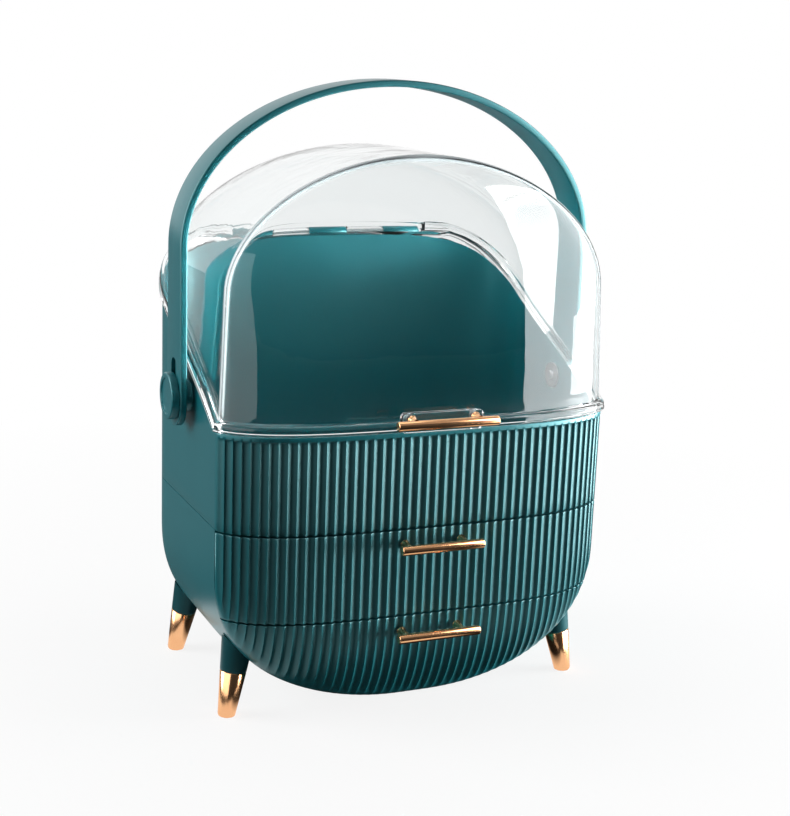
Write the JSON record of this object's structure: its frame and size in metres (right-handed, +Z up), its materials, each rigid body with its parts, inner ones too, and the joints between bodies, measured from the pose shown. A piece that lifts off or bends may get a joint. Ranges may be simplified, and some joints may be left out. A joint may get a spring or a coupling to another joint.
{
  "type": "makeup organizer",
  "caption": "Egg-shaped countertop makeup organizer on splayed legs with a scoop-rimmed tub, fluted sliding drawers, a clear hinged dome cover and a folding carry handle.",
  "frame": {"origin": "centre of the whole box of the organizer, on the surface that its feet stand on", "axes": "+Z up, -Y towards the drawer fronts and pull bars, +X to the right for someone facing the drawers"},
  "size_m": [0.2752, 0.2066, 0.37],
  "materials": {
    "green_plastic": "satin-gloss dark teal moulded plastic",
    "rose_gold": "polished rose gold plating",
    "steel": "plain zinc-plated steel",
    "clear_plastic": "clear glossy moulded plastic"
  },
  "bodies": {
    "base": {"upper_tub": "green_plastic", "lower_casing": "green_plastic", "drawer_shelf": "green_plastic", "casing_screws": "steel", "hinge_pin": "steel", "front_left_leg": "green_plastic", "front_right_leg": "green_plastic", "back_left_leg": "green_plastic", "back_right_leg": "green_plastic", "front_left_leg_cap": "rose_gold", "front_right_leg_cap": "rose_gold", "back_left_leg_cap": "rose_gold", "back_right_leg_cap": "rose_gold", "leg_screws": "steel"},
    "upper_drawer": {"upper_drawer_tray": "green_plastic", "upper_drawer_front": "green_plastic", "upper_drawer_bar": "rose_gold", "upper_bar_screws": "steel", "upper_front_screws": "steel"},
    "lower_drawer": {"lower_drawer_tray": "green_plastic", "lower_drawer_front": "green_plastic", "lower_drawer_bar": "rose_gold", "lower_bar_screws": "steel", "lower_front_screws": "steel"},
    "cover": {"clear_cover": "clear_plastic", "cover_tab": "clear_plastic", "cover_bar": "rose_gold", "cover_bar_screws": "steel"},
    "handle": {"carry_handle": "green_plastic", "left_pivot_cap": "green_plastic", "right_pivot_cap": "green_plastic", "left_pivot_washer": "steel", "right_pivot_washer": "steel", "left_pivot_screw": "steel", "right_pivot_screw": "steel"}
  },
  "joints": [
    {"name": "upper_drawer_slide", "type": "slide", "parent": "base", "child": "upper_drawer", "axis": [0, -1, 0], "range_m": [0, 0.105]},
    {"name": "lower_drawer_slide", "type": "slide", "parent": "base", "child": "lower_drawer", "axis": [0, -1, 0], "range_m": [0, 0.085]},
    {"name": "cover_hinge", "type": "hinge", "parent": "base", "child": "cover", "pos_m": [0, 0.0999, 0.266], "axis": [-1, 0, 0], "range_deg": [0, 90]},
    {"name": "handle_fold", "type": "hinge", "parent": "base", "child": "handle", "pos_m": [0, -0.0014, 0.1842], "axis": [-1, 0, 0], "range_deg": [0, 130.5]}
  ],
  "couplings": [
    {"joint": "handle_fold", "follows": "cover_hinge", "ratio": 1.45}
  ]
}
